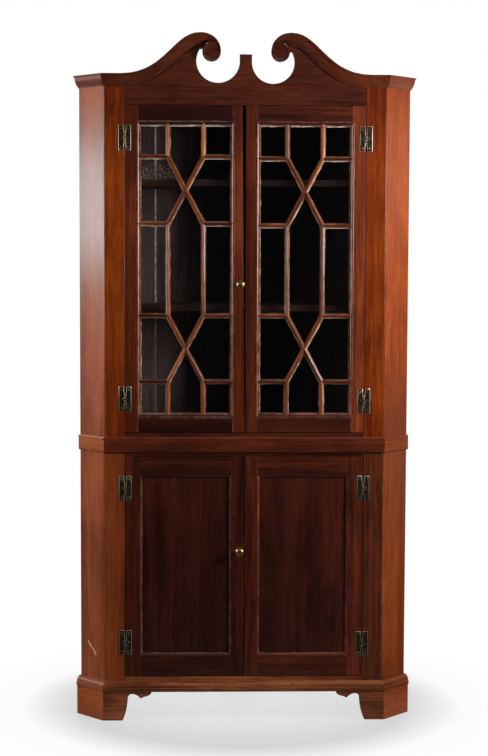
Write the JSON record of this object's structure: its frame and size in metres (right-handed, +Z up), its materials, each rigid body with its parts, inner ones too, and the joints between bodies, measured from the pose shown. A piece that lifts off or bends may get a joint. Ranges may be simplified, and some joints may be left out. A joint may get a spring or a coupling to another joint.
{
  "type": "corner cupboard",
  "caption": "Tall two-part wooden corner cupboard with canted sides, glazed lattice doors above panelled doors, a swan-neck pediment and bracket feet.",
  "frame": {"origin": "middle of the bounding box in plan, on the floor under the feet", "axes": "+X to the right seen from the front, +Y from the doors back to the corner of the room, +Z up"},
  "size_m": [1.1988, 0.707, 2.401],
  "materials": {
    "case_wood": "old shellac over warm red-brown wood, semi-gloss",
    "door_wood": "old shellac over dark red-brown wood, semi-gloss",
    "bar_wood": "worn shellac, lighter on the edges",
    "inner_wood": "dull, greyed inside boards",
    "glass": "clear thin glass",
    "hinge_metal": "dark bronzed metal, worn bright on the edges",
    "knob_brass": "aged brass, polished on the crown"
  },
  "bodies": {
    "case": {"foot_left": "case_wood", "foot_right": "case_wood", "foot_rear": "inner_wood", "base_moulding": "case_wood", "lower_stile_left": "case_wood", "lower_stile_right": "case_wood", "lower_return_left": "case_wood", "lower_return_right": "case_wood", "lower_back_left": "inner_wood", "lower_back_right": "inner_wood", "lower_bottom_rail": "case_wood", "lower_top_rail": "case_wood", "lower_bottom_board": "inner_wood", "lower_shelf": "inner_wood", "lower_top_board": "inner_wood", "waist_band": "case_wood", "upper_stile_left": "case_wood", "upper_stile_right": "case_wood", "upper_return_left": "case_wood", "upper_return_right": "case_wood", "upper_back_left": "inner_wood", "upper_back_right": "inner_wood", "upper_bottom_rail": "case_wood", "upper_bottom_board": "inner_wood", "upper_low_shelf": "inner_wood", "upper_high_shelf": "inner_wood", "upper_top_board": "inner_wood", "pediment_board": "case_wood", "swan_neck_left": "case_wood", "swan_neck_right": "case_wood", "cornice_return_left": "case_wood", "cornice_return_right": "case_wood", "upper_hinge_high_left_case_leaf": "hinge_metal", "upper_hinge_low_left_case_leaf": "hinge_metal", "upper_hinge_high_right_case_leaf": "hinge_metal", "upper_hinge_low_right_case_leaf": "hinge_metal", "lower_hinge_high_left_case_leaf": "hinge_metal", "lower_hinge_low_left_case_leaf": "hinge_metal", "lower_hinge_high_right_case_leaf": "hinge_metal", "lower_hinge_low_right_case_leaf": "hinge_metal"},
    "upper_left_door": {"upper_door_left_frame": "door_wood", "upper_door_left_lattice": "bar_wood", "upper_door_left_glass": "glass", "upper_hinge_high_left_door_leaf": "hinge_metal", "upper_hinge_low_left_door_leaf": "hinge_metal"},
    "upper_right_door": {"upper_door_right_frame": "door_wood", "upper_door_right_lattice": "bar_wood", "upper_door_right_glass": "glass", "upper_hinge_high_right_door_leaf": "hinge_metal", "upper_hinge_low_right_door_leaf": "hinge_metal"},
    "lower_left_door": {"lower_door_left_frame": "door_wood", "lower_door_left_panel": "door_wood", "lower_hinge_high_left_door_leaf": "hinge_metal", "lower_hinge_low_left_door_leaf": "hinge_metal"},
    "lower_right_door": {"lower_door_right_frame": "door_wood", "lower_door_right_panel": "door_wood", "lower_hinge_high_right_door_leaf": "hinge_metal", "lower_hinge_low_right_door_leaf": "hinge_metal"},
    "upper_turn_knob": {"upper_knob": "knob_brass"},
    "lower_turn_knob": {"lower_knob": "knob_brass"}
  },
  "joints": [
    {"name": "upper_left_door_swing", "type": "hinge", "parent": "case", "child": "upper_left_door", "pos_m": [-0.41775, -0.3233, 1.5885], "axis": [0, 0, -1], "range_deg": [0, 150]},
    {"name": "upper_right_door_swing", "type": "hinge", "parent": "case", "child": "upper_right_door", "pos_m": [0.41775, -0.3233, 1.5885], "axis": [0, 0, 1], "range_deg": [0, 150]},
    {"name": "lower_left_door_swing", "type": "hinge", "parent": "case", "child": "lower_left_door", "pos_m": [-0.41775, -0.3233, 0.54625], "axis": [0, 0, -1], "range_deg": [0, 150]},
    {"name": "lower_right_door_swing", "type": "hinge", "parent": "case", "child": "lower_right_door", "pos_m": [0.41775, -0.3233, 0.54625], "axis": [0, 0, 1], "range_deg": [0, 150]},
    {"name": "upper_knob_turn", "type": "hinge", "parent": "upper_left_door", "child": "upper_turn_knob", "pos_m": [-0.0165, -0.3195, 1.539], "axis": [0, -1, 0], "range_deg": [0, 90]},
    {"name": "lower_knob_turn", "type": "hinge", "parent": "lower_left_door", "child": "lower_turn_knob", "pos_m": [-0.0165, -0.3195, 0.602], "axis": [0, -1, 0], "range_deg": [0, 90]}
  ]
}
